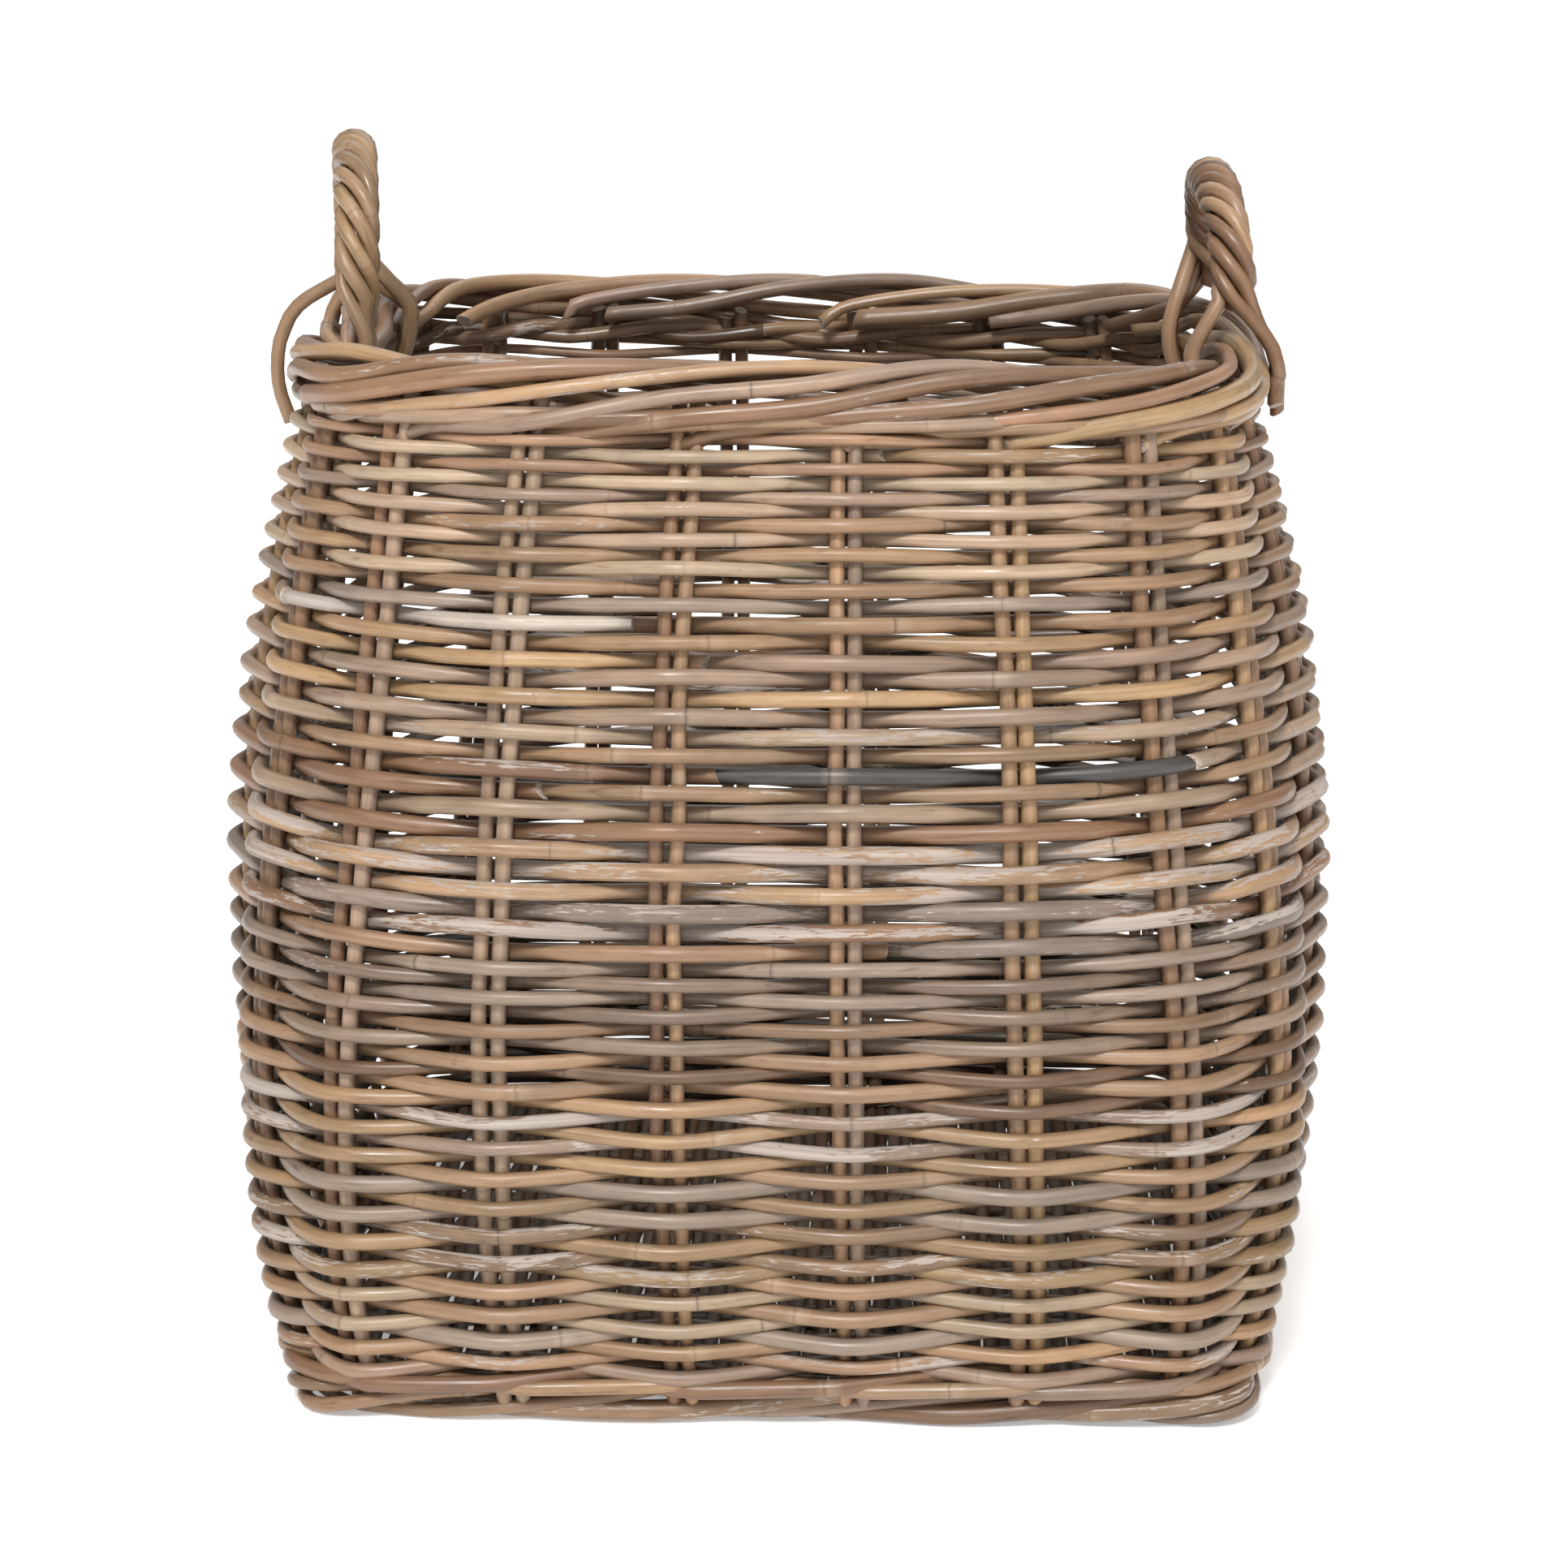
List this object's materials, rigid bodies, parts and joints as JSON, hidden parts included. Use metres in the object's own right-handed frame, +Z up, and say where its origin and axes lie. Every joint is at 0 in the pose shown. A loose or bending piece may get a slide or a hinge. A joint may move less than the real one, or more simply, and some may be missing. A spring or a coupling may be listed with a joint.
{
  "type": "log basket",
  "caption": "Square-plan bellied log basket of whole rattan cane, woven over paired upright stakes, with a rolled rim and a twisted rope handle standing at each side.",
  "frame": {"origin": "on the floor under the middle of the basket, at the bottom centre of its bounding box", "axes": "+Z up, -Y the front face, the two handles stand on the -X and +X sides"},
  "size_m": [0.5462, 0.5462, 0.5927],
  "materials": {
    "stake_cane": "satin, aged natural cane",
    "siding_cane": "satin, golden brown natural cane",
    "siding_cane_grey": "satin, weathered grey-brown cane",
    "border_cane": "satin, brown natural cane",
    "base_cane": "matt, darker natural cane",
    "handle_cane": "satin, warm brown natural cane"
  },
  "bodies": {
    "root": {"foot_border": "border_cane", "base_stick_1": "base_cane", "base_stick_2": "base_cane", "base_stick_3": "base_cane", "base_stick_4": "base_cane", "base_weave": "base_cane", "stake_pair_01": "stake_cane", "stake_pair_02": "stake_cane", "stake_pair_03": "stake_cane", "stake_pair_04": "stake_cane", "stake_pair_05": "stake_cane", "stake_pair_06": "stake_cane", "stake_pair_07": "stake_cane", "stake_pair_08": "stake_cane", "stake_pair_09": "stake_cane", "stake_pair_10": "stake_cane", "stake_pair_11": "stake_cane", "stake_pair_12": "stake_cane", "stake_pair_13": "stake_cane", "stake_pair_14": "stake_cane", "stake_pair_15": "stake_cane", "stake_pair_16": "stake_cane", "stake_pair_17": "stake_cane", "stake_pair_18": "stake_cane", "stake_pair_19": "stake_cane", "stake_pair_20": "stake_cane", "stake_pair_21": "stake_cane", "stake_pair_22": "stake_cane", "stake_pair_23": "stake_cane", "stake_pair_24": "stake_cane", "upsett_wale": "border_cane", "siding_band_01": "siding_cane_grey", "siding_band_02": "siding_cane", "siding_band_03": "siding_cane_grey", "siding_band_04": "siding_cane", "siding_band_05": "siding_cane_grey", "siding_band_06": "siding_cane", "siding_band_07": "siding_cane_grey", "siding_band_08": "siding_cane", "siding_band_09": "siding_cane_grey", "siding_band_10": "siding_cane", "siding_band_11": "siding_cane_grey", "siding_band_12": "siding_cane", "siding_band_13": "siding_cane_grey", "top_wale": "border_cane", "rim_border_cane_1": "border_cane", "rim_border_cane_2": "border_cane", "rim_border_cane_3": "border_cane", "handle_left_bow": "handle_cane", "handle_left_strand_1": "handle_cane", "handle_left_strand_2": "handle_cane", "handle_left_strand_3": "handle_cane", "handle_left_strand_4": "handle_cane", "handle_right_bow": "handle_cane", "handle_right_strand_1": "handle_cane", "handle_right_strand_2": "handle_cane", "handle_right_strand_3": "handle_cane", "handle_right_strand_4": "handle_cane"}
  },
  "joints": []
}
